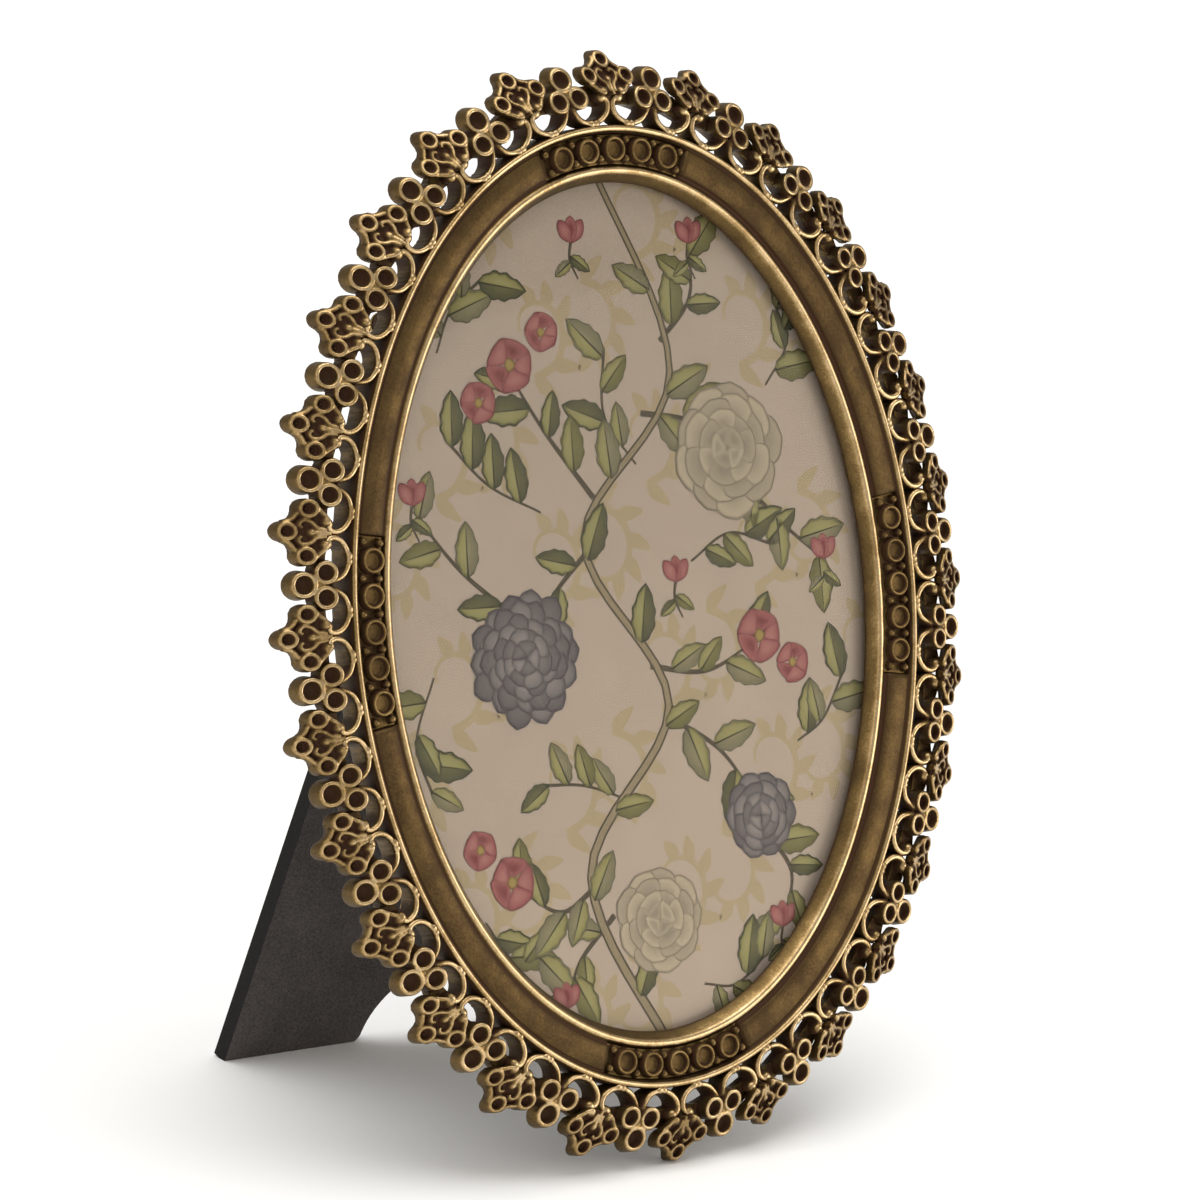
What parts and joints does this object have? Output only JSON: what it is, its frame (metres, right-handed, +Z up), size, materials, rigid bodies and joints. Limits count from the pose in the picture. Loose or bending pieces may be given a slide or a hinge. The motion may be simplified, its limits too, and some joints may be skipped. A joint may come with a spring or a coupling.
{
  "type": "oval picture frame",
  "caption": "Upright oval picture frame in antique gold cast metal with a pierced lace border, glazed floral print and a fold-out easel leg behind.",
  "frame": {"origin": "middle of the bounding box, on the table the frame stands on", "axes": "+Z up, front of the frame faces -Y and leans back, +X to the right seen from the front"},
  "size_m": [0.1686, 0.0924, 0.2125],
  "materials": {
    "antique_gold_metal": "antique gold wash, dark in the recesses and worn bright on the crests",
    "clear_glass": "clear",
    "printed_paper": null,
    "grey_card": "plain",
    "black_covered_board": "fibreboard covered in matt black paper",
    "steel_hardware": "brassed steel"
  },
  "bodies": {
    "frame": {"oval_moulding": "antique_gold_metal", "top_cup_panel": "antique_gold_metal", "bottom_cup_panel": "antique_gold_metal", "left_cup_panel": "antique_gold_metal", "right_cup_panel": "antique_gold_metal", "border_trefoils": "antique_gold_metal", "border_points": "antique_gold_metal", "glass_oval": "clear_glass", "print_sheet": "printed_paper", "spacer_card": "grey_card", "back_board": "black_covered_board", "hinge_board_leaf": "steel_hardware", "hinge_pin": "steel_hardware", "board_rivets": "steel_hardware", "clip_screws": "steel_hardware"},
    "leg": {"easel_leg": "black_covered_board", "hinge_leg_leaf": "steel_hardware", "leg_rivets": "steel_hardware"},
    "clip_upper_left": {"turn_clip_upper_left": "steel_hardware"},
    "clip_upper_right": {"turn_clip_upper_right": "steel_hardware"},
    "clip_lower_left": {"turn_clip_lower_left": "steel_hardware"},
    "clip_lower_right": {"turn_clip_lower_right": "steel_hardware"}
  },
  "joints": [
    {"name": "leg_fold", "type": "hinge", "parent": "frame", "child": "leg", "pos_m": [0, 0.00389, 0.15099], "axis": [1, 0, 0], "range_deg": [-29.6, 0]},
    {"name": "turn_clip_upper_left_turn", "type": "hinge", "parent": "frame", "child": "clip_upper_left", "pos_m": [-0.0517, 0.00507, 0.16107], "axis": [0, -0.9659, 0.2588], "range_deg": [-95, 95]},
    {"name": "turn_clip_upper_right_turn", "type": "hinge", "parent": "frame", "child": "clip_upper_right", "pos_m": [0.0517, 0.00507, 0.16107], "axis": [0, -0.9659, 0.2588], "range_deg": [-95, 95]},
    {"name": "turn_clip_lower_left_turn", "type": "hinge", "parent": "frame", "child": "clip_lower_left", "pos_m": [-0.05414, -0.02384, 0.05319], "axis": [0, -0.9659, 0.2588], "range_deg": [-95, 95]},
    {"name": "turn_clip_lower_right_turn", "type": "hinge", "parent": "frame", "child": "clip_lower_right", "pos_m": [0.05414, -0.02384, 0.05319], "axis": [0, -0.9659, 0.2588], "range_deg": [-95, 95]}
  ]
}
